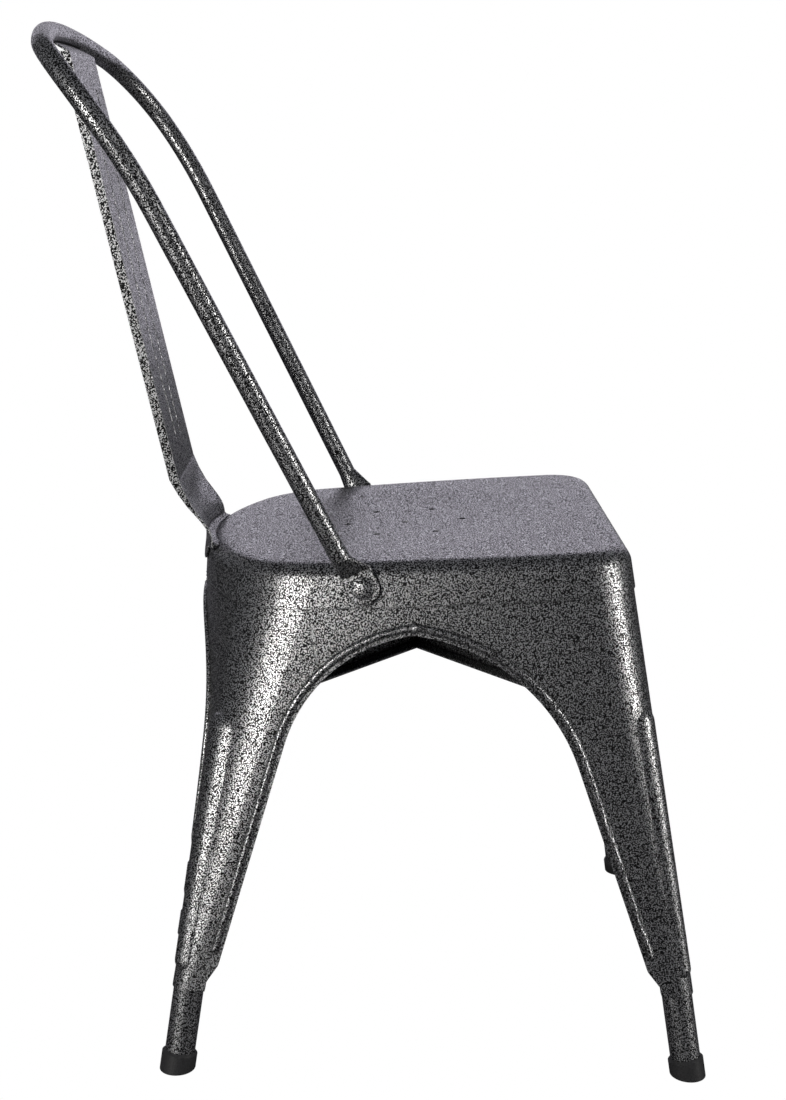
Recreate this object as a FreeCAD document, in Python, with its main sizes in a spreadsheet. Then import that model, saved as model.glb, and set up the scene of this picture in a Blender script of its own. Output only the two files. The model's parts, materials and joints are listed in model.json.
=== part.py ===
import FreeCAD, Part
import Sketcher
import math
import os
from FreeCAD import Placement, Rotation, Vector

# Metal bistro chair, in millimetres.
# X runs across the chair with the sitter's left at +X, Y runs from the front (-Y) to the back,
# Z is up, and the origin is on the floor under the middle of the chair.

doc = FreeCAD.newDocument("bistro_chair")
sheet = doc.addObject("Spreadsheet::Sheet", "sizes")

# Each line: the size's name and its value.
SIZES = [
    # Seat pan. The rim lies in a plane that rises to the front. Names that end in rise or drop
    # are heights over or under the middle of this rim, so those pieces follow the seat.
    ("seat_height", 439.0),
    ("seat_tilt", 3.6),
    ("seat_ahead", 201.0),
    ("seat_behind", 157.0),
    ("seat_half_width", 172.5),
    ("widest_ahead", 135.0),
    ("side_curve", 1300.0),
    ("front_corner", 42.0),
    ("rear_corner", 95.0),
    ("rear_curve", 205.0),
    ("rim_round", 16.0),
    ("skirt_depth", 35.0),
    ("steel", 1.0),
    ("lap_gap", 0.25),
    ("dish_depth", 4.0),
    ("dish_span", 248.0),
    ("drain_hole", 6.5),
    ("drain_circle", 103.0),
    ("drain_ahead", 19.0),
    ("drain_count", 6),
    # Legs. Each neck is a round tube that starts where the pressed panels end.
    ("leg_tuck", 26.0),
    ("neck_height", 75.0),
    ("neck_radius", 12.9),
    ("neck_gap", 0.45),
    ("neck_inside", 5.0),
    ("front_neck_out", 199.5),
    ("front_neck_ahead", 253.2),
    ("front_foot_out", 209.5),
    ("front_foot_ahead", 266.3),
    ("rear_neck_out", 192.0),
    ("rear_neck_behind", 163.3),
    ("rear_foot_out", 202.1),
    ("rear_foot_behind", 174.2),
    # Arches. Each half is an arc that runs into a leaning strap, which steps out to the neck.
    ("side_apex_ahead", 24.0),
    ("side_apex_drop", 57.6),
    ("front_apex_drop", 67.0),
    ("rear_apex_drop", 68.0),
    ("strap_foot_height", 98.0),
    ("strap_foot_drop", 15.0),
    ("strap_foot_round", 9.0),
    ("side_front_strap", 201.5),
    ("side_front_lean", 20.2),
    ("side_front_arc", 165.0),
    ("side_rear_strap", 161.4),
    ("side_rear_lean", 16.4),
    ("side_rear_arc", 133.0),
    ("front_strap", 174.0),
    ("rear_strap", 167.0),
    ("front_lean", 16.0),
    ("rear_lean", 16.0),
    ("front_arc", 140.0),
    ("rear_arc", 140.0),
    ("flange_depth", 9.0),
    ("bead_inset", 6.5),
    ("bead_radius", 3.0),
    ("bead_end_height", 112.0),
    # Swaged rib down each leg's corner. Its turn is measured from the chair's side.
    ("front_rib_top_drop", 132.0),
    ("rear_rib_top_drop", 152.0),
    ("rib_bottom_height", 97.0),
    ("front_rib_top_width", 25.0),
    ("front_rib_bottom_width", 17.0),
    ("rear_rib_top_width", 34.0),
    ("rear_rib_bottom_width", 20.0),
    ("front_rib_top_rise", 4.0),
    ("rear_rib_top_rise", 5.5),
    ("front_rib_bottom_rise", 3.0),
    ("rear_rib_bottom_rise", 3.0),
    ("front_rib_top_turn", 50.0),
    ("front_rib_bottom_turn", 45.0),
    ("rear_rib_top_turn", 52.0),
    ("rear_rib_bottom_turn", 50.0),
    # Rubber foot caps.
    ("cap_radius", 15.2),
    ("cap_height", 16.0),
    ("cap_floor", 4.0),
    ("cap_gap", 0.15),
    ("cap_round", 2.0),
    # Back hoop, a bent tube with flattened ends.
    ("tube_radius", 8.0),
    ("tube_wall", 1.5),
    ("arm_beside_seat", 8.3),
    ("arm_behind", 42.8),
    ("arm_rise", 21.0),
    ("arm_lean", 27.3),
    ("arm_splay", 5.3),
    ("sweep_rise", 273.0),
    ("sweep_turn", 20.1),
    ("sweep_radius", 467.0),
    ("hoop_top_curve", 600.0),
    ("hoop_shoulder", 75.0),
    ("crease_rise", 7.0),
    ("pad_drop", 20.0),
    ("pad_forward", 4.2),
    ("pad_width", 26.0),
    ("pad_thickness", 4.0),
    ("pad_below", 14.0),
    ("pad_above", 14.0),
    ("pad_gap", 0.2),
    ("pad_edge_round", 1.2),
    ("rivet_head", 18.5),
    ("rivet_dome", 3.0),
    ("rivet_edge", 0.6),
    ("rivet_shank", 8.0),
    ("rivet_tail", 11.0),
    ("rivet_tail_height", 2.0),
    ("rivet_gap", 0.15),
    # Back splat.
    ("splat_half_width", 62.0),
    ("splat_lean", 12.7),
    ("splat_behind_seat", 17.5),
    ("splat_top_rise", 387.0),
    ("splat_low_rise", 39.0),
    ("splat_bend", 6.0),
    ("splat_flange", 8.0),
    ("splat_top_hook", 16.0),
    ("splat_gap", 0.35),
    ("groove_top_out", 27.0),
    ("groove_low_out", 14.0),
    ("groove_top_rise", 361.0),
    ("groove_low_rise", 73.0),
    ("groove_width", 4.0),
    ("groove_depth", 1.1),
    ("tongue_half_width", 45.0),
    ("tongue_top_drop", 15.0),
    ("tongue_end_drop", 29.0),
    ("tongue_round", 12.0),
    # Cross braces, two angle bars under the seat.
    ("brace_drop", 114.0),
    ("brace_out", 100.0),
    ("brace_ahead", 112.0),
    ("brace_behind", 50.0),
    ("brace_stock", 700.0),
    ("brace_web", 22.0),
    ("brace_flange", 15.0),
    ("brace_steel", 2.0),
    ("brace_gap", 0.2),
]

for row, (alias, value) in enumerate(SIZES, 1):
    sheet.set("A%d" % row, alias)
    sheet.set("B%d" % row, str(value))
    sheet.setAlias("B%d" % row, alias)
doc.recompute()


def size(alias):
    return float(sheet.get(alias))


def over_seat(rise):
    """The height of a level that is given by its rise over the rim's middle."""
    return size("seat_height") + size(rise)


def under_seat(drop):
    """The height of a level that is given by its drop under the rim's middle."""
    return size("seat_height") - size(drop)


STEEL = size("steel")
TILT = Rotation(Vector(1, 0, 0), -size("seat_tilt"))
RIM = Placement(Vector(0, 0, size("seat_height")), TILT)
LEG_INSET = STEEL + size("lap_gap")
FAR = 400.0
MIDDLE = Vector(0, 0, 0)
ACROSS = Vector(1, 0, 0)


# Objects of the document


def worth(expression):
    """The value of an expression on the sheet's cells."""
    return float(sheet.evalExpression(expression))


def add(kind, label, bound=None, **settings):
    """A document object. Its bound properties follow expressions on the sheet's cells."""
    item = doc.addObject(kind, label)
    item.Label = label
    for name, value in settings.items():
        setattr(item, name, value)
    for name, expression in (bound or {}).items():
        item.setExpression(name, expression)
    return item


def feature(label, shape):
    """A pressed or bent piece, whose shape comes from the functions below."""
    return add("Part::Feature", label, Shape=shape)


def mirrored(label, source):
    return add("Part::Mirroring", label, Source=source, Normal=ACROSS, Base=MIDDLE)


def locate(sketch, geometry, end, across, up):
    """Tie a point of a sketch to two expressions, measured from the sketch's origin."""
    for kind, axis, expression in (("DistanceX", -2, across), ("DistanceY", -1, up)):
        if expression == "0":
            sketch.addConstraint(Sketcher.Constraint("PointOnObject", geometry, end, axis))
            continue
        number = sketch.addConstraint(
            Sketcher.Constraint(kind, -1, 1, geometry, end, worth(expression)))
        sketch.setExpression("Constraints[%d]" % number, expression)


# Plane geometry shared by the outlines


def unit(vector):
    return Vector(vector).normalize()


def circles_meet(centre_a, radius_a, centre_b, radius_b):
    """The meeting point of two circles in the XY plane, on the left of the line from a to b."""
    across = centre_b - centre_a
    span = across.Length
    along = (radius_a ** 2 - radius_b ** 2 + span ** 2) / (2 * span)
    side = math.sqrt(radius_a ** 2 - along ** 2)
    ahead = unit(across)
    normal = Vector(-ahead.y, ahead.x, 0)
    return centre_a + ahead * along + normal * side


def arc_between(centre, start, end):
    middle = unit((start - centre) + (end - centre)) * (start - centre).Length
    return Part.Arc(start, centre + middle, end).toShape()


def line(start, end):
    return Part.LineSegment(start, end).toShape()


def flip(point):
    return Vector(-point.x, point.y, point.z)


def rounded_path(points, radii):
    """Straight runs through the points, with an arc of the given radius at each inner one."""
    edges = []
    start = points[0]
    for corner, after, radius in zip(points[1:-1], points[2:], radii):
        back = unit(start - corner)
        on = unit(after - corner)
        half_angle = back.getAngle(on) / 2
        reach = radius / math.tan(half_angle)
        arc_start = corner + back * reach
        arc_end = corner + on * reach
        bisector = unit(back + on)
        arc_middle = corner + bisector * (radius / math.sin(half_angle) - radius)
        edges.append(line(start, arc_start))
        edges.append(Part.Arc(arc_start, arc_middle, arc_end).toShape())
        start = arc_end
    edges.append(line(start, points[-1]))
    return edges


def tangent_arc(start, corner, end):
    """The arc that leaves its start towards the corner and reaches its end from there."""
    middle = (start + end) / 2
    height = (corner - middle).Length
    half = (end - start).Length / 2
    if height < 0.0001:
        return line(start, end)
    rise = half * math.tan(math.atan2(height, half) / 2)
    return Part.Arc(start, middle + unit(corner - middle) * rise, end).toShape()


def two_arcs(start, leave, end, arrive):
    """Two arcs, tangent to each other, from one point and direction to another."""
    leave = unit(leave)
    arrive = unit(arrive)
    chord = end - start
    turn = 1 - leave.dot(arrive)
    if turn < 0.0000001:
        reach = chord.dot(chord) / (4 * chord.dot(arrive))
    else:
        along = chord.dot(leave + arrive)
        reach = (math.sqrt(along ** 2 + 2 * turn * chord.dot(chord)) - along) / (2 * turn)
    first = start + leave * reach
    second = end - arrive * reach
    middle = (first + second) / 2
    return [tangent_arc(start, first, middle), tangent_arc(middle, second, end)]


def smooth_path(points, directions):
    """Tangent arcs through points, in the direction given at each."""
    edges = []
    for index in range(len(points) - 1):
        edges += two_arcs(points[index], directions[index],
                          points[index + 1], directions[index + 1])
    return edges


def round_bar(edges, start, direction, radius):
    """A solid round bar along a path."""
    ring = Part.Wire([Part.makeCircle(radius, start, direction)])
    return Part.Wire(edges).makePipeShell([ring], True, False)


# Outlines of the seat rim and of the four necks, drawn smaller by an inset

SIDE_CENTRE = Vector(size("seat_half_width") - size("side_curve"), -size("widest_ahead"), 0)
REAR_CENTRE = Vector(0, size("seat_behind") - size("rear_curve"), 0)
REAR_CORNER_CENTRE = circles_meet(
    SIDE_CENTRE, size("side_curve") - size("rear_corner"),
    REAR_CENTRE, size("rear_curve") - size("rear_corner"))
FRONT_CORNER_Y = size("front_corner") - size("seat_ahead")
FRONT_CORNER_CENTRE = Vector(
    SIDE_CENTRE.x + math.sqrt((size("side_curve") - size("front_corner")) ** 2
                              - (FRONT_CORNER_Y - SIDE_CENTRE.y) ** 2), FRONT_CORNER_Y, 0)


def outline_wire(front, front_side, side, side_rear, rear):
    """A closed outline of eight edges from its right half: joints and side and rear arcs."""
    front_joint, front_centre = front
    joint_a, side_arc = front_side, side
    joint_b, rear_centre = side_rear
    joint_c, rear_arc = rear
    edges = [line(flip(front_joint), front_joint)]
    edges.append(arc_between(front_centre, front_joint, joint_a))
    edges.append(side_arc(joint_a, joint_b, 1))
    edges.append(arc_between(rear_centre, joint_b, joint_c))
    edges.append(rear_arc(joint_c, flip(joint_c)))
    edges.append(arc_between(flip(rear_centre), flip(joint_c), flip(joint_b)))
    edges.append(side_arc(flip(joint_b), flip(joint_a), -1))
    edges.append(arc_between(flip(front_centre), flip(joint_a), flip(front_joint)))
    return Part.Wire(edges)


def rim_outline(inset):
    """The seat's outline in the rim plane."""
    side = size("side_curve") - inset
    rear = size("rear_curve") - inset
    front_joint = Vector(FRONT_CORNER_CENTRE.x, inset - size("seat_ahead"), 0)
    joint_a = SIDE_CENTRE + unit(FRONT_CORNER_CENTRE - SIDE_CENTRE) * side
    joint_b = SIDE_CENTRE + unit(REAR_CORNER_CENTRE - SIDE_CENTRE) * side
    joint_c = REAR_CENTRE + unit(REAR_CORNER_CENTRE - REAR_CENTRE) * rear

    def side_arc(start, end, hand):
        centre = SIDE_CENTRE if hand > 0 else flip(SIDE_CENTRE)
        return arc_between(centre, start, end)

    def rear_arc(start, end):
        return arc_between(REAR_CENTRE, start, end)

    wire = outline_wire((front_joint, FRONT_CORNER_CENTRE), joint_a, side_arc,
                        (joint_b, REAR_CORNER_CENTRE), (joint_c, rear_arc))
    wire.Placement = RIM
    return wire


def neck_reach():
    """How far the leg's pressing reaches from the neck's centre line, all round it."""
    return size("neck_radius") + size("neck_gap") + STEEL


def neck_outline(inset):
    """The outline round the four necks, at the height where the panels end."""
    radius = neck_reach() + LEG_INSET - inset
    level = size("neck_height")
    front_centre = Vector(size("front_neck_out"), -size("front_neck_ahead"), level)
    rear_centre = Vector(size("rear_neck_out"), size("rear_neck_behind"), level)
    along = unit(rear_centre - front_centre)
    outward = Vector(along.y, -along.x, 0)
    front_joint = front_centre + Vector(0, -radius, 0)
    joint_a = front_centre + outward * radius
    joint_b = rear_centre + outward * radius
    joint_c = rear_centre + Vector(0, radius, 0)
    return outline_wire((front_joint, front_centre), joint_a, lambda a, b, hand: line(a, b),
                        (joint_b, rear_centre), (joint_c, line))


def blank(inset):
    """The solid inside the surface that runs from the seat rim down to the necks."""
    return Part.makeLoft([neck_outline(inset), rim_outline(inset)], True, True)


def under_rim(depth, thickness):
    """A wide slab parallel to the rim, whose top lies the given depth below it."""
    slab = Part.makeBox(2 * FAR, 2 * FAR, thickness, Vector(-FAR, -FAR, -depth - thickness))
    slab.Placement = RIM
    return slab


SKIN = blank(0)
LEG_OUTER = blank(LEG_INSET)
LEG_INNER = blank(LEG_INSET + STEEL)


# Seat pan


def dished(solid, depth):
    """The solid with a shallow spherical dish, whose lowest point is the given depth down."""
    span = size("dish_span") / 2
    radius = (span ** 2 + size("dish_depth") ** 2) / (2 * size("dish_depth"))
    centre = Vector(0, -size("drain_ahead"), radius - size("dish_depth"))
    ball = Part.makeSphere(radius + depth, centre)
    ball.Placement = RIM.multiply(ball.Placement)
    return solid.cut(ball)


def pan_solid(inset):
    """The filled pan, with its rounded rim, drawn smaller by an inset."""
    body = blank(inset).common(under_rim(inset, size("skirt_depth") + inset))
    top = RIM.multVec(Vector(0, 0, -inset))
    normal = TILT.multVec(Vector(0, 0, 1))
    rim_edges = []
    for face in body.Faces:
        centre = face.CenterOfMass
        if abs((centre - top).dot(normal)) < 0.01:
            rim_edges = face.Edges
    return body.makeFillet(size("rim_round") - inset, rim_edges)


def pan_pressing():
    """The pressed and dished pan, before its holes are made."""
    return dished(pan_solid(0), 0).cut(dished(pan_solid(STEEL), STEEL))


def drain_drills():
    """The drills for the drain holes: one in the middle of the dish and a ring round it."""
    spots = [Vector(0, 0, 0)]
    count = int(size("drain_count"))
    for index in range(count):
        angle = math.radians(90 + 360.0 * index / count)
        spots.append(Vector(math.cos(angle), math.sin(angle), 0) * (size("drain_circle") / 2))
    drills = []
    for number, spot in enumerate(spots):
        foot = spot + Vector(0, -size("drain_ahead"), -size("rim_round"))
        drills.append(add("Part::Cylinder", "drain_drill_%d" % number,
                          {"Radius": "sizes.drain_hole / 2", "Height": "2 * sizes.rim_round"},
                          Placement=RIM.multiply(Placement(foot, Rotation()))))
    return drills


# Legs: four pressings with arch beads, inward flanges and a swaged corner rib


def line_meets_circle(point, direction, centre, radius):
    """The first point where a line in the XY plane enters a circle."""
    ahead = unit(direction)
    along = (centre - point).dot(ahead)
    off = (centre - point - ahead * along).Length
    return point + ahead * (along - math.sqrt(radius ** 2 - off ** 2))


def arch_half(front, along_side, inset=0.0):
    """The top, arc centre, tangent point and strap foot of half an arch, moved into the metal.

    The arch is drawn in its own plane: x runs out from the apex and y is the height."""
    end = "front" if front else "rear"
    arch = "side_" + end if along_side else end
    apex = under_seat("side_apex_drop" if along_side else end + "_apex_drop")
    arc = size(arch + "_arc")
    lean = math.radians(size(arch + "_lean"))
    slope = Vector(-math.sin(lean), math.cos(lean), 0)
    outward = Vector(slope.y, -slope.x, 0)
    foot = Vector(size(arch + "_strap"), size("strap_foot_height"), 0)
    centre = line_meets_circle(foot - outward * arc, slope, Vector(0, apex, 0), arc)
    top = Vector(0, centre.y + math.sqrt((arc + inset) ** 2 - centre.x ** 2), 0)
    return top, centre, centre + outward * (arc + inset), foot + outward * inset


def arch_plane(front, along_side):
    """Where an arch's drawing lies on a left leg: x outward from the apex, y up."""
    if along_side:
        outward = Vector(0, -1 if front else 1, 0)
        origin = Vector(0, -size("side_apex_ahead"), 0)
    else:
        outward = Vector(1, 0, 0)
        origin = Vector(0, 0, 0)
    up = Vector(0, 0, 1)
    return Placement(origin, Rotation(outward, up, outward.cross(up), "XYZ"))


def turned(point, centre, degrees):
    """A point of the drawing plane, turned about a centre."""
    return centre + Rotation(Vector(0, 0, 1), degrees).multVec(point - centre)


def arch_opening(front, along_side, inset=0.0):
    """The solid that half an arch takes away from a left leg, grown by an inset.

    The arc is carried on past the apex, and the leg's own quarter ends it there."""
    plane = arch_plane(front, along_side)
    outward = plane.Rotation.multVec(Vector(1, 0, 0))
    top, centre, tangent, foot = arch_half(front, along_side, inset)

    def beside_neck(height):
        reach = (on_axis(front, height) - plane.Base).dot(outward) - neck_reach() + inset
        return Vector(reach, height, 0)

    low = beside_neck(foot.y - size("strap_foot_drop"))
    floor = beside_neck(0)
    beyond = turned(top, centre, 8)
    under = Vector(beyond.x, 0, 0)
    edges = [arc_between(centre, beyond, tangent)]
    edges += rounded_path([tangent, foot, low, floor], [size("strap_foot_round")] * 2)
    edges += [line(floor, under), line(under, beyond)]
    prism = Part.Face(Part.Wire(edges)).extrude(Vector(0, 0, 2 * FAR))
    prism.translate(Vector(0, 0, -FAR))
    prism.Placement = plane.multiply(prism.Placement)
    return prism


NECK = size("neck_radius")


def quarter(front):
    """A box over the left front or left rear quarter of the chair, from the necks up."""
    split = -size("side_apex_ahead")
    start = -FAR if front else split
    depth = split + FAR if front else FAR - split
    box = Part.makeBox(FAR, depth, 2 * FAR, Vector(0, start, size("neck_height")))
    return box.common(under_rim(size("leg_tuck"), 2 * FAR))


def onto(shape, point, direction):
    """The first point of a shape that is met along a line."""
    ray = line(point, point + unit(direction) * 3 * FAR)
    hits = [vertex.Point for vertex in ray.common(shape).Vertexes]
    return min(hits, key=lambda hit: (hit - point).Length)


def sound(results, check):
    """The first of several booleans that comes out sound. Each one allows a larger tolerance."""
    for result in results:
        if result.isValid() and result.Solids and check(result.Volume):
            return result
    raise RuntimeError("a boolean has failed")


TOLERANCES = (0, 0.001, 0.0001, 0.003, 0.01, 0.0003, 0.03)


def carved(solid, tool):
    """The solid less a tool that takes a part of it."""
    return sound((solid.cut([tool], tolerance) for tolerance in TOLERANCES),
                 lambda volume: 0.3 * solid.Volume < volume < solid.Volume - 1)


def joined(solid, piece):
    """The solid with a piece welded on."""
    return sound((solid.fuse([piece], tolerance) for tolerance in TOLERANCES),
                 lambda volume: 1 < volume - solid.Volume < 1.01 * piece.Volume + 1)


def shared(solid, tool):
    """What the solid and the tool have in common."""
    return sound((solid.common([tool], tolerance) for tolerance in TOLERANCES),
                 lambda volume: 1 < volume < tool.Volume)


def bead(front, along_side, thickness):
    """A round bar on the leg's outer face, beside half an arch: only its back stands proud."""
    plane = arch_plane(front, along_side)
    away = Vector(1, 0, 0) if along_side else Vector(0, -1 if front else 1, 0)
    top, centre, tangent, foot = arch_half(front, along_side, size("bead_inset"))

    def on_skin(point):
        return onto(LEG_OUTER, plane.multVec(point) + away * FAR, -away)

    # The bar starts a little beyond the apex, where the edge of the quarter trims it.
    start = turned(top, centre, 3)
    sweep = math.degrees((start - centre).getAngle(tangent - centre))
    drawn = []
    for step in range(5):
        point = turned(start, centre, -sweep * step / 4)
        spoke = unit(point - centre)
        drawn.append((point, Vector(spoke.y, -spoke.x, 0)))
    slope = unit(foot - tangent)
    drawn.append((tangent + slope * ((tangent.y - size("bead_end_height")) / -slope.y), slope))
    points = [on_skin(point) for point, ahead in drawn]
    directions = [on_skin(point + ahead / 2) - hit for (point, ahead), hit in zip(drawn, points)]
    radius = size("bead_radius") - thickness
    bar = round_bar(smooth_path(points, directions), points[0], directions[0], radius)
    return bar.fuse(Part.makeSphere(radius, points[-1]))


def corner_axis(front, height):
    """The centre of the leg's corner rounding at a height."""
    if front:
        low = Vector(size("front_neck_out"), -size("front_neck_ahead"), size("neck_height"))
        high = RIM.multVec(FRONT_CORNER_CENTRE)
    else:
        low = Vector(size("rear_neck_out"), size("rear_neck_behind"), size("neck_height"))
        high = RIM.multVec(REAR_CORNER_CENTRE)
    return low + (high - low) * ((height - low.z) / (high.z - low.z))


def rib(front, thickness):
    """A tapered bar with a round top, sunk into the corner so that only its back stands proud."""
    end = "front" if front else "rear"
    ends = []
    heights = (("bottom", size("rib_bottom_height")), ("top", under_seat(end + "_rib_top_drop")))
    for level, height in heights:
        turn = math.radians(size("%s_rib_%s_turn" % (end, level)))
        outward = Vector(math.cos(turn), -math.sin(turn) if front else math.sin(turn), 0)
        axis = corner_axis(front, height)
        skin = (onto(LEG_OUTER, axis + outward * FAR, -outward) - axis).Length
        back = skin + size("%s_rib_%s_rise" % (end, level))
        # The bar's circle meets the corner's circle where the rib's edges lie.
        chord = size("%s_rib_%s_width" % (end, level)) / 2
        inward = math.sqrt(skin ** 2 - chord ** 2)
        radius = (skin ** 2 + back ** 2 - 2 * back * inward) / (2 * (back - inward))
        ends.append((axis + outward * (back - radius), radius - thickness))
    (low, low_radius), (high, high_radius) = ends
    bar = Part.makeCone(low_radius, high_radius, (high - low).Length, low, high - low)
    bar = bar.fuse(Part.makeSphere(high_radius, high))
    return bar.fuse(Part.makeSphere(low_radius, low))


def neck_axis(front):
    """The foot and the upper end of a neck's centre line, at the floor and where the panels end."""
    end = "front" if front else "rear"
    along = "ahead" if front else "behind"
    sign = -1 if front else 1
    foot = Vector(size(end + "_foot_out"), sign * size("%s_foot_%s" % (end, along)), 0)
    top = Vector(size(end + "_neck_out"), sign * size("%s_neck_%s" % (end, along)),
                 size("neck_height"))
    return foot, top


def on_axis(front, height):
    foot, top = neck_axis(front)
    return foot + (top - foot) * (height / top.z)


def neck_bar(label, front, radius, low, high, tip=None):
    """A round bar along a neck's centre line, or a cone if its tip's radius is given.

    The radii and the heights of both ends are expressions on the sheet's cells."""
    foot, top = neck_axis(front)
    words = ("front", "ahead") if front else ("rear", "behind")
    slant = ("sqrt(pow(sizes.{0}_foot_out - sizes.{0}_neck_out; 2)"
             " + pow(sizes.{0}_foot_{1} - sizes.{0}_neck_{1}; 2)"
             " + pow(sizes.neck_height; 2)) / sizes.neck_height").format(*words)
    bound = {"Height": "((%s) - (%s)) * %s" % (high, low, slant)}
    if tip:
        bound["Radius1"] = radius
        bound["Radius2"] = tip
    else:
        bound["Radius"] = radius
    place = Placement(on_axis(front, worth(low)), Rotation(Vector(0, 0, 1), top - foot))
    return add("Part::Cone" if tip else "Part::Cylinder", label, bound, Placement=place)


def leg(front):
    """The left front or left rear leg."""
    box = quarter(front)
    outer = LEG_OUTER.common(box)
    inner = LEG_INNER.common(box)
    deep = outer.cut(blank(LEG_INSET + size("flange_depth")))
    shell = carved(joined(outer.cut(inner), rib(front, 0).cut(inner)), rib(front, STEEL))
    for along_side in (True, False):
        opening = arch_opening(front, along_side)
        shell = joined(carved(shell, opening),
                       shared(deep, arch_opening(front, along_side, STEEL).cut(opening)))
        bar = shared(bead(front, along_side, 0), box).cut(inner)
        shell = carved(joined(shell, bar), bead(front, along_side, STEEL))
    return shell


def neck_tube(label, front):
    """The round tube inside the leg's lower end."""
    top = "sizes.neck_height + sizes.neck_inside"
    bar = neck_bar(label + "_bar", front, "sizes.neck_radius", "sizes.cap_floor", top)
    bore = neck_bar(label + "_bore", front, "sizes.neck_radius - sizes.tube_wall",
                    "0", top + " + sizes.neck_radius")
    return add("Part::Cut", label, Base=bar, Tool=bore)


def foot_cap(label, front):
    """A rubber sleeve with a closed, flat foot and a chamfered top edge."""
    shoulder = "sizes.cap_height - sizes.cap_round"
    sleeve = neck_bar(label + "_sleeve", front, "sizes.cap_radius", "-sizes.cap_height", shoulder)
    lip = neck_bar(label + "_lip", front, "sizes.cap_radius", shoulder, "sizes.cap_height",
                   "sizes.cap_radius - sizes.cap_round")
    whole = add("Part::Fuse", label + "_whole", Base=sleeve, Tool=lip)
    side = "4 * sizes.cap_radius"
    corner = on_axis(front, 0) - Vector(worth(side) / 2, worth(side) / 2, 2 * size("cap_height"))
    below = add("Part::Box", label + "_below",
                {"Length": side, "Width": side, "Height": "2 * sizes.cap_height"},
                Placement=Placement(corner, Rotation()))
    flat = add("Part::Cut", label + "_flat", Base=whole, Tool=below)
    socket = neck_bar(label + "_socket", front, "sizes.neck_radius + sizes.cap_gap",
                      "sizes.cap_floor", "2 * sizes.cap_height")
    return add("Part::Cut", label, Base=flat, Tool=socket)


# Back hoop


def arm_direction():
    return Vector(math.tan(math.radians(size("arm_splay"))),
                  math.tan(math.radians(size("arm_lean"))), 1)


def on_arm(height):
    start = Vector(size("seat_half_width") + size("arm_beside_seat"), size("arm_behind"),
                   over_seat("arm_rise"))
    return start + arm_direction() * (height - start.z)


def hoop_points():
    """Points and directions along the hoop's left half, from the straight arm to the middle.

    The hoop is drawn flat, x across and y up from the arm's end, and then bent back."""
    lean = math.radians(size("arm_lean"))
    turn = math.radians(size("sweep_turn"))
    bend = size("sweep_radius")
    arm_end = on_arm(over_seat("sweep_rise"))
    up = Vector(math.tan(math.radians(size("arm_splay"))) * math.cos(lean), 1, 0)
    side = unit(up)
    outward = Vector(side.y, -side.x, 0)
    height = bend * turn
    curve = size("hoop_top_curve")
    shoulder = size("hoop_shoulder")
    top_centre = Vector(0, height - curve, 0)
    start = Vector(arm_end.x, 0, 0)
    inside = start - outward * shoulder
    along = (top_centre - inside).dot(side)
    off = (top_centre - inside - side * along).Length
    centre = inside + side * (along + math.sqrt((curve - shoulder) ** 2 - off ** 2))
    tangent = centre + outward * shoulder
    first = math.atan2(outward.y, outward.x)
    last = math.atan2(centre.y - top_centre.y, centre.x - top_centre.x)
    flat = [(start, side)]
    for step in range(4):
        angle = first + (last - first) * step / 3
        spoke = Vector(math.cos(angle), math.sin(angle), 0)
        flat.append((centre + spoke * shoulder, Vector(-spoke.y, spoke.x, 0)))
    flat.append((Vector(0, height, 0), Vector(-1, 0, 0)))
    points = []
    directions = []
    for point, ahead in flat:
        angle = lean + point.y / bend
        back = bend * (math.cos(lean) - math.cos(angle))
        rise = bend * (math.sin(angle) - math.sin(lean))
        points.append(Vector(point.x, arm_end.y + back, arm_end.z + rise))
        directions.append(Vector(ahead.x, ahead.y * math.sin(angle), ahead.y * math.cos(angle)))
    return points, directions


def hoop_bar(radius):
    """A bar along the hoop's centre line, from one arm's lower end over the top to the other's."""
    left, directions = hoop_points()
    half = smooth_path(left, directions)
    foot = on_arm(over_seat("crease_rise"))
    edges = [line(foot, left[0])] + half
    edges += [edge.mirror(Vector(0, 0, 0), Vector(1, 0, 0)) for edge in reversed(half)]
    edges.append(line(flip(left[0]), flip(foot)))
    return round_bar(edges, foot, arm_direction(), radius)


def pad_frame():
    """Where a pad sits on the skirt: x to the chair's back, y up along the arm, z outward."""
    level = under_seat("pad_drop")
    along = on_arm(level).y - size("pad_forward")
    here = onto(SKIN, Vector(FAR, along, level), Vector(-1, 0, 0))
    behind = onto(SKIN, Vector(FAR, along + 1, level), Vector(-1, 0, 0))
    above = onto(SKIN, Vector(FAR, along, level + 1), Vector(-1, 0, 0))
    normal = unit((behind - here).cross(above - here))
    up = arm_direction()
    up = unit(up - normal * up.dot(normal))
    return Placement(here, Rotation(up.cross(normal), up, normal, "XYZ"))


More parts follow.
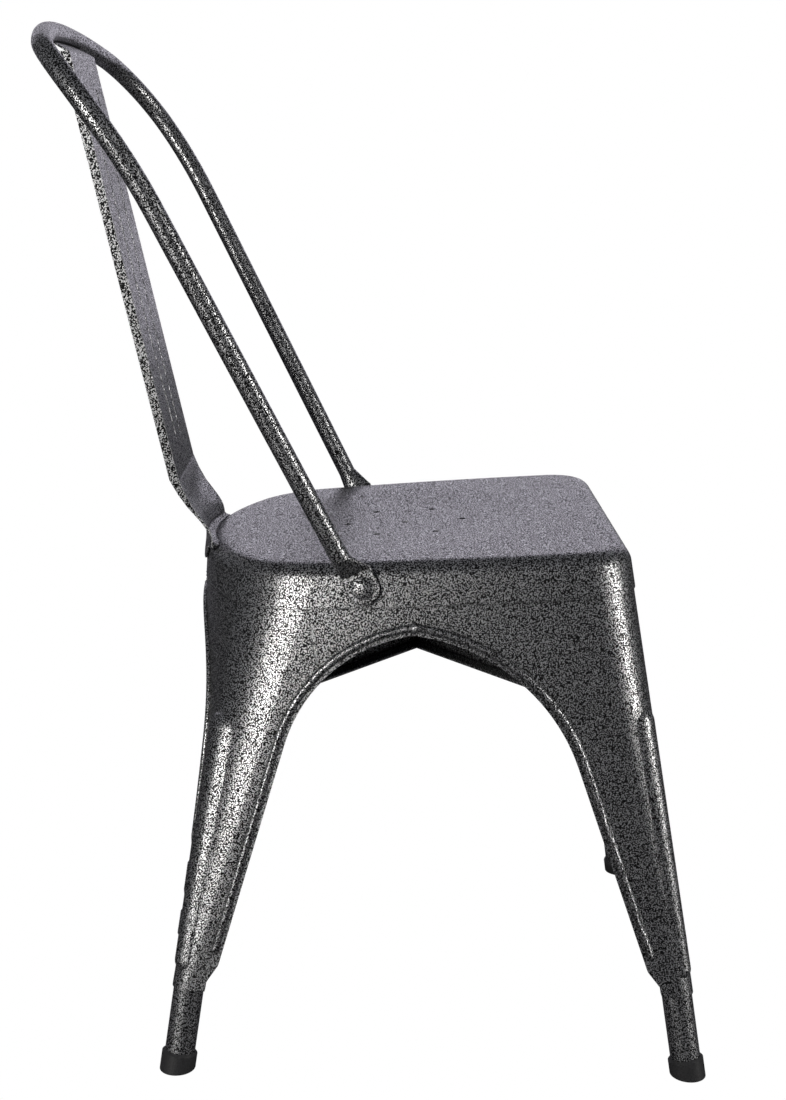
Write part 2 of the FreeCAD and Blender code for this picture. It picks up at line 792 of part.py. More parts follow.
def pad():
    """The flattened end of an arm, and the run where the round tube turns flat."""
    half = size("pad_width") / 2
    thick = size("pad_thickness")
    low = half - size("pad_below")
    high = size("pad_above")
    low_left = Vector(-half, low, 0)
    low_right = Vector(half, low, 0)
    high_left = Vector(-half, high, 0)
    high_right = Vector(half, high, 0)
    edges = [line(high_left, low_left),
             Part.Arc(low_left, Vector(0, low - half, 0), low_right).toShape(),
             line(low_right, high_right),
             line(high_right, high_left)]
    plate = Part.Face(Part.Wire(edges)).extrude(Vector(0, 0, thick))
    outer_edges = [edge for edge in plate.Edges
                   if edge.CenterOfMass.z > thick - 0.01 and edge.CenterOfMass.y < high - 0.01]
    plate = plate.makeFillet(size("pad_edge_round"), outer_edges)
    plate.translate(Vector(0, 0, size("pad_gap")))
    plate.Placement = FRAME.multiply(plate.Placement)
    oval = Part.Ellipse(MIDDLE, half, thick / 2).toShape()
    upright = Rotation(Vector(1, 0, 0), Vector(0, 0, -1), Vector(0, 1, 0), "XYZ")
    centre = Vector(0, high - 1, size("pad_gap") + thick / 2)
    oval.Placement = FRAME.multiply(Placement(centre, upright))
    ring = Part.makeCircle(size("tube_radius"), on_arm(over_seat("crease_rise")), arm_direction())
    turn = Part.makeLoft([Part.Wire([oval]), Part.Wire([ring])], True, True)
    return plate.fuse(turn)


def hoop_tube():
    """The bent tube with both pads, before it is drilled for the rivets."""
    end = pad()
    solid = joined(joined(hoop_bar(size("tube_radius")), end), end.mirror(MIDDLE, ACROSS))
    return solid.cut(hoop_bar(size("tube_radius") - size("tube_wall")))


def rivet_drill():
    """The drill for the left rivet, through the pad and the skirt."""
    place = FRAME.multiply(Placement(Vector(0, 0, -size("skirt_depth") / 2), Rotation()))
    return add("Part::Cylinder", "left_rivet_drill",
               {"Radius": "sizes.rivet_shank / 2 + sizes.rivet_gap",
                "Height": "sizes.skirt_depth"}, Placement=place)


def rivet(label):
    """A domed rivet through the pad and the skirt, with its tail inside the skirt."""
    back = "sizes.rivet_tail_height"
    grip = "sizes.steel + 2 * sizes.rivet_gap + sizes.pad_gap + sizes.pad_thickness"
    face = back + " + " + grip
    corners = [("0", "0"),
               ("sizes.rivet_tail / 2", "0"),
               ("sizes.rivet_tail / 2", back),
               ("sizes.rivet_shank / 2", back),
               ("sizes.rivet_shank / 2", face),
               ("sizes.rivet_head / 2", face),
               ("sizes.rivet_head / 2", face + " + sizes.rivet_edge")]
    crown = ("0", face + " + sizes.rivet_dome")
    body = add("PartDesign::Body", label)
    sketch = body.newObject("Sketcher::SketchObject", label + "_profile")
    plane = next(part for part in body.Origin.OriginFeatures if part.Role == "XZ_Plane")
    sketch.AttachmentSupport = [(plane, "")]
    sketch.MapMode = "FlatFace"
    points = [Vector(worth(across), worth(up), 0) for across, up in corners]
    top = Vector(0, worth(crown[1]), 0)
    for start, end in zip(points, points[1:]):
        sketch.addGeometry(Part.LineSegment(start, end))
    rise = top.y - points[-1].y
    ball = (points[-1].x ** 2 + rise ** 2) / (2 * rise)
    half_angle = math.asin(points[-1].x / ball) / 2
    middle = Vector(ball * math.sin(half_angle), top.y - ball * (1 - math.cos(half_angle)), 0)
    dome = sketch.addGeometry(Part.Arc(points[-1], middle, top))
    axis = sketch.addGeometry(Part.LineSegment(top, points[0]))
    for before in range(axis):
        sketch.addConstraint(Sketcher.Constraint("Coincident", before, 2, before + 1, 1))
    sketch.addConstraint(Sketcher.Constraint("Coincident", axis, 2, 0, 1))
    sketch.addConstraint(Sketcher.Constraint("PointOnObject", dome, 3, -2))
    locate(sketch, 0, 1, *corners[0])
    for number, corner in enumerate(corners[1:]):
        locate(sketch, number, 2, *corner)
    locate(sketch, dome, 2, *crown)
    turn = body.newObject("PartDesign::Revolution", label + "_turn")
    turn.Profile = sketch
    turn.ReferenceAxis = (sketch, ["V_Axis"])
    turn.Angle = 360
    tail_end = -STEEL - 2 * size("rivet_gap") - size("rivet_tail_height")
    body.Placement = FRAME.multiply(Placement(Vector(0, 0, tail_end), Rotation()))
    return body


# Back splat


def splat_front(height):
    """How far back the flat plate's front face lies at a height."""
    slope = math.tan(math.radians(size("splat_lean")))
    low = size("seat_behind") + size("splat_behind_seat")
    return low + slope * (height - over_seat("splat_low_rise"))


def behind_skirt(out, height):
    """How far back the splat must stand to lie on the outside of the skirt."""
    skirt = onto(SKIN, Vector(out, FAR, height), Vector(0, -1, 0))
    return skirt.y + size("splat_gap")


def splat_foot():
    """The splat's foot, from the flat plate down the skirt: height, edge's y and sag in the middle.

    Between the bend and the rim it follows an S: each row gives a level's share of the way
    down, and its shares of the way back to the plate's line and of the rim's sag."""
    half = size("splat_half_width")
    bend = size("splat_bend")
    low = over_seat("splat_low_rise")
    tongue = under_seat("tongue_top_drop")
    rim = behind_skirt(half, tongue)
    sag = behind_skirt(0, tongue) - rim
    plate = splat_front(low)
    levels = [(low + bend, splat_front(low + bend), 0.0)]
    for down, back, sagging in ((0.11, 0.86, 0.08), (0.31, 0.64, 0.31),
                                (0.56, 0.26, 0.67), (0.76, 0.035, 0.93)):
        levels.append((low + (tongue - low) * down, rim + (plate - rim) * back, sag * sagging))
    for height in (tongue, under_seat("tongue_end_drop")):
        levels.append((height, behind_skirt(half, height), sag))
    return levels


def strip(height, behind, sag, half, thick):
    """A thin level section: a flat arc across the chair, sagging back in the middle."""
    front = Part.Arc(Vector(-half, behind, height), Vector(0, behind + sag + 0.01, height),
                     Vector(half, behind, height)).toShape()
    back = Part.Arc(Vector(half, behind + thick, height),
                    Vector(0, behind + sag + 0.01 + thick, height),
                    Vector(-half, behind + thick, height)).toShape()
    near = line(Vector(half, behind, height), Vector(half, behind + thick, height))
    far = line(Vector(-half, behind + thick, height), Vector(-half, behind, height))
    return Part.Wire([front, near, back, far])


def prism_yz(points, start, width):
    """A solid with the given outline in the YZ plane, from x = start over a width."""
    edges = [line(a, b) for a, b in zip(points, points[1:] + points[:1])]
    face = Part.Face(Part.Wire(edges))
    face.translate(Vector(start, 0, 0))
    return face.extrude(Vector(width, 0, 0))


def groove_bar(hand, thickness):
    """A round bar that presses a groove of the front face, or with a thickness its back."""
    width = size("groove_width")
    depth = size("groove_depth")
    radius = (width ** 2 / 4 + depth ** 2) / (2 * depth)
    ends = []
    for level in ("low", "top"):
        height = over_seat("groove_%s_rise" % level)
        centre = splat_front(height) + depth - radius
        ends.append(Vector(hand * size("groove_%s_out" % level), centre, height))
    low, top = ends
    return Part.makeCylinder(radius + thickness, (top - low).Length, low, top - low)


def behind_grooves():
    """The space from the middle of the plate's steel backwards, over the length of the grooves."""
    half = size("splat_half_width") / 2
    low = over_seat("groove_low_rise") - size("groove_width")
    top = over_seat("groove_top_rise") + size("groove_width")
    deep = Vector(0, 10 * STEEL, 0)
    step = Vector(0, STEEL / 2, 0)
    low_front = Vector(0, splat_front(low), low) + step
    high_front = Vector(0, splat_front(top), top) + step
    return prism_yz([low_front, high_front, high_front + deep, low_front + deep], -half, 2 * half)


def beside_tongue():
    """What is cut away on the right of the tongue, which is all that is left below the rim."""
    wide = -size("tongue_half_width")
    outside = -2 * size("splat_half_width")
    top = under_seat("tongue_top_drop")
    low = under_seat("tongue_end_drop")
    corner = size("tongue_round")
    below = low - corner
    inside = wide + corner
    middle = corner * (1 - math.sqrt(0.5))
    arc = Part.Arc(Vector(wide, 0, low + corner), Vector(wide + middle, 0, low + middle),
                   Vector(inside, 0, low)).toShape()
    edges = [line(Vector(outside, 0, top), Vector(wide, 0, top)),
             line(Vector(wide, 0, top), Vector(wide, 0, low + corner)),
             arc,
             line(Vector(inside, 0, low), Vector(inside, 0, below)),
             line(Vector(inside, 0, below), Vector(outside, 0, below)),
             line(Vector(outside, 0, below), Vector(outside, 0, top))]
    return Part.Face(Part.Wire(edges)).extrude(Vector(0, FAR, 0))


def back_splat():
    """The plate, its S-shaped foot and tongue, its folded edges, top hook and pressed grooves."""
    half = size("splat_half_width")
    levels = splat_foot()
    top = over_seat("splat_top_rise")
    low = levels[0][0]
    thick = STEEL / math.cos(math.radians(size("splat_lean")))
    back = Vector(0, thick, 0)
    high_front = Vector(0, splat_front(top), top)
    low_front = Vector(0, splat_front(low), low)
    plate = prism_yz([low_front, high_front, high_front + back, low_front + back],
                     -half, 2 * half)
    foot = Part.makeLoft([strip(height, behind, sag, half, 1.3 * thick)
                          for height, behind, sag in levels], True, False)
    # Folded side edges, which run out to a point at the rim.
    fold = size("splat_flange")
    folded = levels[:-2]
    front_line = [high_front] + [Vector(0, behind, height) for height, behind, sag in folded]
    back_line = [high_front + Vector(0, fold, 0)]
    for index, (height, behind, sag) in enumerate(folded):
        share = 1 - index / (len(folded) - 1.0)
        back_line.append(Vector(0, behind + thick + (fold - thick) * share, height))
    outline = front_line + list(reversed(back_line))
    folds = [prism_yz(outline, start, STEEL) for start in (half - STEEL, -half)]
    # The top edge bends back until it meets the tube.
    hook = size("splat_top_hook")
    hook_end = high_front + Vector(0, hook, 0.55 * hook)
    up = Vector(0, -0.4, 1) * STEEL
    hooked = prism_yz([high_front, hook_end, hook_end - up, high_front - up + Vector(0, 1, 0)],
                      -half, 2 * half)
    ridges = [groove_bar(hand, STEEL).common(behind_grooves()) for hand in (1, -1)]
    solid = plate
    for piece in [foot, hooked] + folds + ridges:
        solid = joined(solid, piece)
    waste = beside_tongue()
    tools = [waste, waste.mirror(MIDDLE, ACROSS)] + [groove_bar(hand, 0) for hand in (1, -1)]
    for tool in tools:
        solid = carved(solid, tool)
    solid = solid.cut(hoop_bar(size("tube_radius") + size("lap_gap")))
    return max(solid.Solids, key=lambda part: part.Volume)


# Cross braces, two angle bars that cross in halved notches under the seat


def brace_frame(hand):
    """Where a brace lies: x along it to the back, y to the side of its flange, z up."""
    start = Vector(hand * size("brace_out"), -size("brace_ahead"), 0)
    end = Vector(-hand * size("brace_out"), size("brace_behind"), 0)
    along = end - start
    turn = Rotation(Vector(0, 0, 1), math.degrees(math.atan2(along.y, along.x)))
    return Placement((start + end) / 2 + Vector(0, 0, under_seat("brace_drop")), turn)


def brace_bar(label, hand, grow):
    """One angle bar, from the front corner on one hand to the rear corner on the other."""
    edge = worth(grow)
    corner = Placement(Vector(-size("brace_stock") / 2, -edge, -edge), Rotation())
    place = brace_frame(hand).multiply(corner)
    steel = "sizes.brace_steel + 2 * " + grow
    web = add("Part::Box", label + "_web",
              {"Length": "sizes.brace_stock", "Width": steel,
               "Height": "sizes.brace_web + 2 * " + grow}, Placement=place)
    flange = add("Part::Box", label + "_flange",
                 {"Length": "sizes.brace_stock", "Width": "sizes.brace_flange + 2 * " + grow,
                  "Height": steel}, Placement=place)
    return add("Part::Fuse", label, Base=web, Tool=flange)


def brace(label, hand, inside, is_upper):
    """An angle bar that ends at the legs' inner faces, notched half through for the other one."""
    bar = brace_bar(label + "_bar", hand, "0")
    fitted = add("Part::Common", label + "_fitted", Base=bar, Tool=inside)
    other = brace_bar(label + "_other", -hand, "sizes.brace_gap")
    middle = under_seat("brace_drop") + size("brace_web") / 2
    level = middle - size("brace_web") if is_upper else middle - size("brace_gap")
    width = size("brace_stock")
    half = add("Part::Box", label + "_half",
               {"Length": "sizes.brace_stock", "Width": "sizes.brace_stock",
                "Height": "sizes.brace_web"},
               Placement=Placement(Vector(-width / 2, -width / 2, level), Rotation()))
    notch = add("Part::Common", label + "_notch", Base=other, Tool=half)
    return add("Part::Cut", label, Base=fitted, Tool=notch)


# The whole chair

FRAME = pad_frame()
NODES = []


def keep(item, twin=None):
    """List a finished piece and, if it is one of a pair, its mirror image on the right."""
    NODES.append(item)
    if twin:
        NODES.append(mirrored(twin, item))


for end, is_front in (("front", True), ("rear", False)):
    keep(feature(end + "_left_leg", leg(is_front)), end + "_right_leg")
    keep(neck_tube(end + "_left_tube", is_front), end + "_right_tube")
    keep(foot_cap(end + "_left_cap", is_front), end + "_right_cap")

drill = rivet_drill()
drills = add("Part::MultiFuse", "rivet_drills", Shapes=[drill, mirrored("right_rivet_drill", drill)])
pan_drills = add("Part::MultiFuse", "pan_drills", Shapes=[drills] + drain_drills())
keep(add("Part::Cut", "seat_pan", Base=feature("pan_pressing", pan_pressing()), Tool=pan_drills))
keep(add("Part::Cut", "back_hoop", Base=feature("hoop_tube", hoop_tube()), Tool=drills))
keep(rivet("left_rivet"), "right_rivet")
keep(feature("back_splat", back_splat()))
legs_inside = feature("legs_inside", blank(LEG_INSET + STEEL + size("brace_gap")))
keep(brace("upper_brace", 1, legs_inside, True))
keep(brace("lower_brace", -1, legs_inside, False))


def finish():
    """Check every object and every piece's shape, and then write the pieces' files."""
    doc.recompute()
    for item in doc.Objects:
        if "Invalid" in item.State or "Error" in item.State:
            raise RuntimeError("%s is not sound: %s" % (item.Label, item.State))
    for item in NODES:
        shape = item.Shape
        if shape.isNull() or not shape.isValid() or len(shape.Solids) != 1:
            raise RuntimeError("%s has no single sound solid" % item.Label)
    os.makedirs("parts", exist_ok=True)
    for item in NODES:
        item.Shape.exportStep("parts/%s.step" % item.Label)


finish()
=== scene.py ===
import json
import math

import bmesh
import bpy
from mathutils import Matrix, Vector
from mathutils.bvhtree import BVHTree

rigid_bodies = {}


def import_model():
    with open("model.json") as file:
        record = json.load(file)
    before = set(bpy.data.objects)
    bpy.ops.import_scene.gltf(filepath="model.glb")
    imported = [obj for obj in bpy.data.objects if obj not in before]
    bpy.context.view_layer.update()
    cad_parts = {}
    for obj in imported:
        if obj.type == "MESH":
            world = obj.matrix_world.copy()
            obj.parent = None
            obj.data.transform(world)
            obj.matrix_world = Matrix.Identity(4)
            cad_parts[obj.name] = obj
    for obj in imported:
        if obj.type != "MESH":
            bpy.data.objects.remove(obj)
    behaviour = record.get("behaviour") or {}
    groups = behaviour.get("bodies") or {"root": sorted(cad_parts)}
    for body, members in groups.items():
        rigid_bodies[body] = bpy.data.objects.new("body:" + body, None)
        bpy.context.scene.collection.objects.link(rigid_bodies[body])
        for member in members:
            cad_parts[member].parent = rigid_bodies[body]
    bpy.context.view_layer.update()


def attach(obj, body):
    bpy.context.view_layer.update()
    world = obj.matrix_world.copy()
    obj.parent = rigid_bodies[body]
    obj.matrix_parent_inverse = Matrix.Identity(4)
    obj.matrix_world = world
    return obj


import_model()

# Metal bistro chair in a hammered silver-vein powder coat, with black rubber foot caps.
# Lengths are in metres and powers in watts. X runs to the sitter's left, Y to the back, Z up.


# Materials

WORM_SCALE = 960.0          # noise cells per metre in the silver pattern
EDGE_RADIUS = 0.0009        # width of the band along an edge where the silver shows through
RECESS_SHADE_REACH = 0.004        # a wall nearer than this darkens a hollow with painted shade
HAMMER_DEPTH = 0.0003       # relief of the pools of silver
LACQUER = (0.0015, 0.0015, 0.0018)
THIN_SILVER = (0.02, 0.02, 0.021)
SILVER = (0.62, 0.625, 0.64)
RUBBER_GRAIN = 900.0        # noise cells per metre
RUBBER_DARK = (0.013, 0.013, 0.013)
RUBBER_PALE = (0.040, 0.040, 0.043)
SHARP_EDGE = math.radians(32)


def shader(name):
    """A new material with its node tree and its principled shader."""
    material = bpy.data.materials.new(name)
    material.use_nodes = True
    tree = material.node_tree
    return material, tree, tree.nodes["Principled BSDF"]


def add(tree, kind, inputs=None, **settings):
    """A new node, whose inputs are set to values or linked to other nodes' outputs."""
    node = tree.nodes.new(kind)
    for key, value in settings.items():
        setattr(node, key, value)
    for key, value in (inputs or {}).items():
        if isinstance(value, bpy.types.NodeSocket):
            tree.links.new(value, node.inputs[key])
        else:
            node.inputs[key].default_value = value
    return node


def ramp(tree, factor, stops):
    """A colour ramp through pairs of a position and a colour."""
    node = tree.nodes.new("ShaderNodeValToRGB")
    tree.links.new(factor, node.inputs["Fac"])
    elements = node.color_ramp.elements
    while len(elements) < len(stops):
        elements.new(0.5)
    for element, (position, colour) in zip(elements, stops):
        element.position = position
        element.color = (*colour, 1)
    return node


def connect(tree, bsdf, colour, roughness, bump):
    tree.links.new(colour, bsdf.inputs["Base Color"])
    tree.links.new(roughness, bsdf.inputs["Roughness"])
    tree.links.new(bump.outputs["Normal"], bsdf.inputs["Normal"])


def hammered(name, low, high, relief):
    """Silver worms in black lacquer, as a hammered silver-vein powder coat dries.

    The noise is lacquer below the low value and silver above the high one. Edges are worn
    to silver, and recesses are darkened towards lacquer as painted shade."""
    material, tree, bsdf = shader(name)
    coordinates = add(tree, "ShaderNodeTexCoord")
    worms = add(tree, "ShaderNodeTexNoise",
                {"Vector": coordinates.outputs["Object"], "Scale": WORM_SCALE, "Detail": 0.0,
                 "Roughness": 0.4, "Distortion": 0.2})
    pools = add(tree, "ShaderNodeMapRange",
                {"Value": worms.outputs["Fac"], "From Min": low, "From Max": high})
    soft = add(tree, "ShaderNodeBevel", {"Radius": EDGE_RADIUS}, samples=4)
    turn = add(tree, "ShaderNodeVectorMath",
               {0: soft.outputs["Normal"], 1: coordinates.outputs["Normal"]},
               operation="DOT_PRODUCT")
    edge = add(tree, "ShaderNodeMapRange",
               {"Value": turn.outputs["Value"], "From Min": 0.97, "From Max": 0.75,
                "To Max": 0.75})
    worn = add(tree, "ShaderNodeMath",
               {0: pools.outputs["Result"], 1: edge.outputs["Result"]}, operation="MAXIMUM")
    # Painted shade: ambient occlusion pulls recesses from silver towards dark lacquer.
    open_to = add(tree, "ShaderNodeAmbientOcclusion", {"Distance": RECESS_SHADE_REACH}, samples=4)
    painted_recess_shade = add(tree, "ShaderNodeMapRange",
                 {"Value": open_to.outputs["AO"], "From Min": 0.45, "From Max": 0.85})
    silver = add(tree, "ShaderNodeMath",
                 {0: worn.outputs["Value"], 1: painted_recess_shade.outputs["Result"]},
                 operation="MULTIPLY").outputs["Value"]
    colour = ramp(tree, silver, [(0.0, LACQUER), (0.3, THIN_SILVER), (1.0, SILVER)])
    metal = ramp(tree, silver, [(0.0, (0.0,) * 3), (0.6, (0.9,) * 3)])
    rough = ramp(tree, silver, [(0.0, (0.5,) * 3), (1.0, (0.3,) * 3)])
    bump = add(tree, "ShaderNodeBump",
               {"Height": pools.outputs["Result"], "Normal": soft.outputs["Normal"],
                "Strength": relief, "Distance": HAMMER_DEPTH})
    connect(tree, bsdf, colour.outputs["Color"], rough.outputs["Color"], bump)
    tree.links.new(metal.outputs["Color"], bsdf.inputs["Metallic"])
    bsdf.inputs["Specular IOR Level"].default_value = 0.1
    bsdf.inputs["Coat Weight"].default_value = 0.1
    bsdf.inputs["Coat Roughness"].default_value = 0.35
    return material


def rubber():
    """Matte black rubber with a fine grain."""
    material, tree, bsdf = shader("black_rubber")
    place = add(tree, "ShaderNodeTexCoord").outputs["Object"]
    grain = add(tree, "ShaderNodeTexNoise",
                {"Vector": place, "Scale": RUBBER_GRAIN, "Detail": 3.0,
                 "Roughness": 0.6}).outputs["Fac"]
    tone = ramp(tree, grain, [(0.3, RUBBER_DARK), (0.7, RUBBER_PALE)])
    rough = add(tree, "ShaderNodeMapRange", {"Value": grain, "To Min": 0.32, "To Max": 0.5})
    bump = add(tree, "ShaderNodeBump",
               {"Height": grain, "Strength": 0.2, "Distance": 0.0002})
    connect(tree, bsdf, tone.outputs["Color"], rough.outputs["Result"], bump)
    return material


def dress_nodes():
    """Coats every CAD node, and shades it smooth between its sharp edges."""
    for item in list(bpy.data.objects):
        if item.type != "MESH":
            continue
        item.data.materials.clear()
        item.data.materials.append(RUBBER if "cap" in item.name else COAT)
        for polygon in item.data.polygons:
            polygon.use_smooth = True
        item.data.set_sharp_from_angle(angle=SHARP_EDGE)


COAT = hammered("hammered_powder_coat", 0.465, 0.60, 0.3)
WELD = hammered("coated_weld_metal", 0.30, 0.50, 0.7)
RUBBER = rubber()
dress_nodes()


# Weld metal: the seams that the photo shows on the pressings, and their hidden counterparts

OUTSIDE = 0.4               # rays towards a side of the chair start this far out
BEYOND = 0.5                # and those towards its front or back this far
SUNK = 0.0004               # how deep a bead sits in the sheet

SPLAT_FOOT = 0.4145         # lowest and highest place of the fillet's lower edge
SPLAT_FOOT_TOP = 0.4265
SPLAT_WIDTH_AT = (0.4365, 0.4300)   # heights at which the splat's width is felt for
SPLAT_FILLET_TOP = 0.4295
SPLAT_FILLET_REACH = 0.0085
SPLAT_FILLET_STEPS = 60

APEX_TOP = 0.3925
APEX_STEP = 0.0011
APEX_JUMP = 0.004           # a longer step between two points has left the sheet
APEX_POINTS = 14
APEX_WIDTH, APEX_HEIGHT = 0.0046, 0.0024

SEAM_TOP = (0.0600, 0.3925)     # Y and Z of the ends of the upright seam on a rear leg
SEAM_END = (0.0546, 0.3550)
SEAM_POINTS = 46
SEAM_WIDTH, SEAM_HEIGHT = 0.0036, 0.0020


def skin(node):
    """A CAD node's surface, for rays that find a point on it."""
    data = bpy.data.objects[node].data
    return BVHTree.FromPolygons([v.co for v in data.vertices],
                                [tuple(p.vertices) for p in data.polygons])


def touch(surface, start, towards):
    """The first point that a ray meets, and the surface's direction there, or None for both."""
    place, normal = surface.ray_cast(Vector(start), Vector(towards))[:2]
    if normal and normal.dot(Vector(towards)) > 0:
        normal = -normal
    return place, normal


def lofted(name, rings, look):
    """A closed solid through rings of the same number of points."""
    mesh = bmesh.new()
    rows = [[mesh.verts.new(point) for point in ring] for ring in rings]
    count = len(rows[0])
    for before, after in zip(rows, rows[1:]):
        for k in range(count):
            mesh.faces.new((before[k], before[(k + 1) % count],
                            after[(k + 1) % count], after[k]))
    mesh.faces.new(rows[0][::-1])
    mesh.faces.new(rows[-1])
    bmesh.ops.recalc_face_normals(mesh, faces=mesh.faces)
    data = bpy.data.meshes.new(name)
    mesh.to_mesh(data)
    mesh.free()
    for polygon in data.polygons:
        polygon.use_smooth = True
    data.materials.append(look)
    piece = bpy.data.objects.new(name, data)
    bpy.context.scene.collection.objects.link(piece)
    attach(piece, "root")


def ripple(step, seed=0.0):
    """The uneven build-up of hand-laid weld metal, between about -1 and 1."""
    return (math.sin(1.9 * step + seed) + 0.6 * math.sin(4.3 * step + 2.1 * seed)
            + 0.35 * math.sin(7.7 * step + seed)) / 1.95


def bead(name, points, normals, width, height, seed):
    """A low uneven bead along points that lie on a surface, rounded off at both ends."""
    rings = []
    last = len(points) - 1
    for i, (point, normal) in enumerate(zip(points, normals)):
        along = (points[min(i + 1, last)] - points[max(i - 1, 0)]).normalized()
        across = along.cross(normal).normalized()
        end = min(1.0, 0.25 + 2.5 * min(i, last - i) / last)
        half = width / 2 * end * (1 + 0.25 * ripple(i, seed))
        rise = height * end * (1 + 0.35 * ripple(i, seed + 1))
        ring = []
        for k in range(8):
            turn = math.pi * k / 7
            ring.append(point + across * half * math.cos(turn)
                        + normal * (rise * math.sin(turn) - SUNK))
        rings.append(ring)
    lofted(name, rings, WELD)


def splat_weld():
    """Fillet of weld metal between the rear of the seat's rim and the foot of the splat."""
    seat = skin("seat_pan")
    splat = skin("back_splat")

    def front(x, z):
        return splat.ray_cast(Vector((x, 0.0, z)), Vector((0, 1, 0)))[0]

    def rim(x, y):
        return touch(seat, (x, y, 1.0), (0, 0, -1))[0].z

    half = 0.020
    while all(front(half + 0.001, z) for z in SPLAT_WIDTH_AT):
        half += 0.001
    rings = []
    steps = SPLAT_FILLET_STEPS
    for i in range(steps + 1):
        x = half * (2 * i / steps - 1) * 0.99
        foot = SPLAT_FOOT
        while front(x, foot) is None:
            foot += 0.0005
        low = touch(seat, (x, BEYOND, min(foot, SPLAT_FOOT_TOP)), (0, -1, 0))[0].y
        end = min(1.0, 0.6 + 6 * min(i, steps - i) / steps)
        top = SPLAT_FILLET_TOP + 0.0025 * end + 0.0004 * ripple(i)
        back = front(x, top).y
        near = back - SPLAT_FILLET_REACH * end
        # From the skirt and the splat's foot up the splat's front, over the fillet's hollow
        # to the rim, and back inside the rim.
        rings.append([
            Vector((x, low - 0.0006, min(foot, SPLAT_FOOT_TOP))),
            Vector((x, front(x, foot).y + 0.0005, foot)),
            Vector((x, back + 0.0006, top)),
            Vector((x, back - 0.0018, top - 0.0026 + 0.0003 * ripple(i, 1.0))),
            Vector((x, back - 0.0052, rim(x, near) + 0.0009 + 0.0003 * ripple(i, 2.0))),
            Vector((x, near, rim(x, near) - 0.0003)),
            Vector((x, (near + low) / 2, rim(x, near) - 0.0035)),
        ])
    lofted("splat_weld", rings, COAT)


def apex_welds():
    """Short beads where two legs meet at the top of each arch."""
    for name, node, start, towards in (
            ("right_apex_weld", "rear_right_leg", (-OUTSIDE, -0.0237), (1, 0, 0)),
            ("left_apex_weld", "rear_left_leg", (OUTSIDE, -0.0237), (-1, 0, 0)),
            ("front_apex_weld", "front_left_leg", (0.0003, -BEYOND), (0, 1, 0)),
            ("rear_apex_weld", "rear_left_leg", (0.0003, BEYOND), (0, -1, 0))):
        surface = skin(node)
        points = []
        normals = []
        z = APEX_TOP
        while len(points) < APEX_POINTS:
            place, normal = touch(surface, (*start, z), towards)
            if place is None or (points and (place - points[-1]).length > APEX_JUMP):
                break
            points.append(place)
            normals.append(normal)
            z -= APEX_STEP
        bead(name, points, normals, APEX_WIDTH, APEX_HEIGHT, seed=z * 1000)


def side_welds():
    """The rough upright seam on each rear leg, from below the skirt to the arch."""
    for name, node, sign in (("right_side_weld", "rear_right_leg", -1),
                             ("left_side_weld", "rear_left_leg", 1)):
        surface = skin(node)
        points = []
        normals = []
        for i in range(SEAM_POINTS):
            share = i / (SEAM_POINTS - 1)
            y, z = (top + (end - top) * share for top, end in zip(SEAM_TOP, SEAM_END))
            y += 0.0006 * ripple(i * 0.35, 3.0)
            place, normal = touch(surface, (sign * OUTSIDE, y, z), (-sign, 0, 0))
            points.append(place)
            normals.append(normal)
        bead(name, points, normals, SEAM_WIDTH, SEAM_HEIGHT, seed=2.0)


splat_weld()
apex_welds()
side_welds()


# Stage: a white floor and backdrop, with soft studio light

FLOOR_SIZE = 12
FLOOR_PAINT = (0.12, 0.12, 0.13, 1)
WHITE = (1, 1, 1, 1)
SKY = (0.9, 0.92, 1.0, 1)
SKY_STRENGTH = 0.12
FAR_LIGHT = (1.0, 0.95, 1.08)
WARM_LIGHT = (1.0, 0.98, 0.94)
LAMPS = (
    # name, place, aim, width, height, power, colour
    ("far_panel", (2.6, 0.0, 1.3), (0, 0, 0.45), 3.6, 1.8, 17, FAR_LIGHT),
    ("far_floor", (1.9, 0.0, 0.02), (1.9, 0.0, 1.0), 1.6, 2.4, 0.8, FAR_LIGHT),
    ("left_box", (-1.75, 1.25, 0.78), (0, 0.1, 0.35), 0.95, 1.3, 27, WARM_LIGHT),
    ("right_box", (-0.85, -1.95, 0.75), (0, -0.1, 0.35), 0.5, 1.3, 20, WARM_LIGHT),
)


def seen_and_lit(tree, kind, seen, lit):
    """Shows one shader to the camera and the other to every other ray."""
    path = tree.nodes.new("ShaderNodeLightPath")
    mix = add(tree, "ShaderNodeMixShader",
              {0: path.outputs["Is Camera Ray"], 1: lit.outputs[0], 2: seen.outputs[0]})
    out = tree.nodes.new(kind)
    tree.links.new(mix.outputs[0], out.inputs["Surface"])


def floor():
    bpy.ops.mesh.primitive_plane_add(size=FLOOR_SIZE, location=(0, 0, 0))
    plane = bpy.context.object
    plane.name = "floor"
    material = bpy.data.materials.new("white_floor")
    material.use_nodes = True
    tree = material.node_tree
    tree.nodes.clear()
    seen_and_lit(tree, "ShaderNodeOutputMaterial",
                 add(tree, "ShaderNodeEmission", {"Color": WHITE, "Strength": 1.0}),
                 add(tree, "ShaderNodeBsdfDiffuse", {"Color": FLOOR_PAINT}))
    plane.data.materials.append(material)


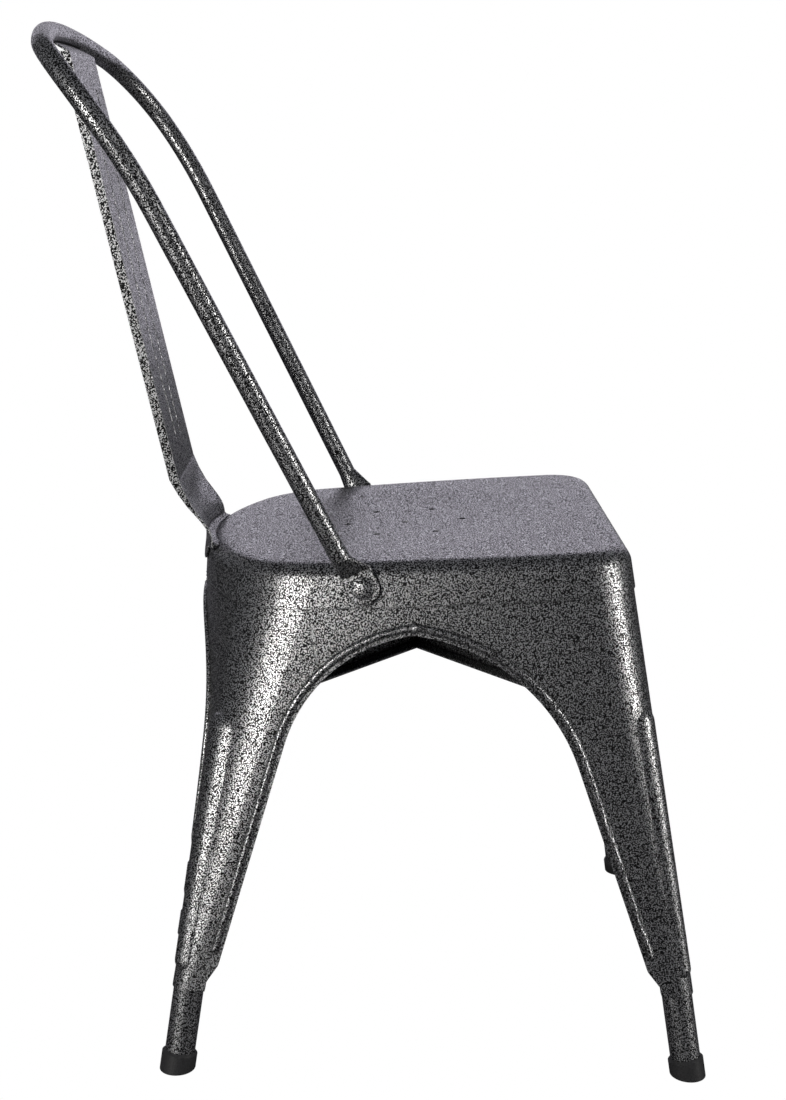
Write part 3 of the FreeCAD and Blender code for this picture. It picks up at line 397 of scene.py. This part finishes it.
def backdrop():
    world = bpy.data.worlds.new("studio")
    bpy.context.scene.world = world
    world.use_nodes = True
    tree = world.node_tree
    tree.nodes.clear()
    seen_and_lit(tree, "ShaderNodeOutputWorld",
                 add(tree, "ShaderNodeBackground", {"Color": WHITE, "Strength": 1.0}),
                 add(tree, "ShaderNodeBackground", {"Color": SKY, "Strength": SKY_STRENGTH}))


def area(name, place, target, width, height, power, colour):
    """A soft box that the camera doesn't see."""
    data = bpy.data.lights.new(name, "AREA")
    data.shape = "RECTANGLE"
    data.size = width
    data.size_y = height
    data.energy = power
    data.color = colour
    lamp = bpy.data.objects.new(name, data)
    bpy.context.scene.collection.objects.link(lamp)
    lamp.location = place
    aim = Vector(target) - Vector(place)
    lamp.rotation_euler = aim.to_track_quat("-Z", "Y").to_euler()
    lamp.visible_camera = False


floor()
backdrop()
for lamp in LAMPS:
    area(*lamp)


# Camera, fitted to the photo

PHOTO = (786, 1100)         # the photo's width and height in pixels
FOCAL = 1668.9              # focal length in the photo's pixels
AXIS = (399.5, 680.2)       # where the lens's axis meets the photo, from its top left corner
SENSOR = 36                 # in millimetres, over the photo's longer side
CAMERA_PLACE = Vector((-1.470, 0.0152, 0.7692))
YAW = math.radians(-1.23)
PITCH = math.radians(18.18)
ROLL = math.radians(0.91)


def camera():
    data = bpy.data.cameras.new("camera")
    data.sensor_width = SENSOR
    data.lens = FOCAL * SENSOR / PHOTO[1]
    data.shift_x = -(AXIS[0] - PHOTO[0] / 2) / PHOTO[1]
    data.shift_y = (AXIS[1] - PHOTO[1] / 2) / PHOTO[1]
    data.clip_start = 0.01
    viewer = bpy.data.objects.new("camera", data)
    bpy.context.scene.collection.objects.link(viewer)
    forward = Vector((math.cos(YAW) * math.cos(PITCH), math.sin(YAW) * math.cos(PITCH),
                      -math.sin(PITCH)))
    level = forward.cross(Vector((0, 0, 1))).normalized()
    upright = level.cross(forward)
    right = level * math.cos(ROLL) + upright * math.sin(ROLL)
    up = upright * math.cos(ROLL) - level * math.sin(ROLL)
    turn = Matrix((right, up, -forward)).transposed()
    viewer.matrix_world = Matrix.Translation(CAMERA_PLACE) @ turn.to_4x4()
    bpy.context.scene.camera = viewer


camera()
bpy.context.scene.view_settings.view_transform = "Standard"
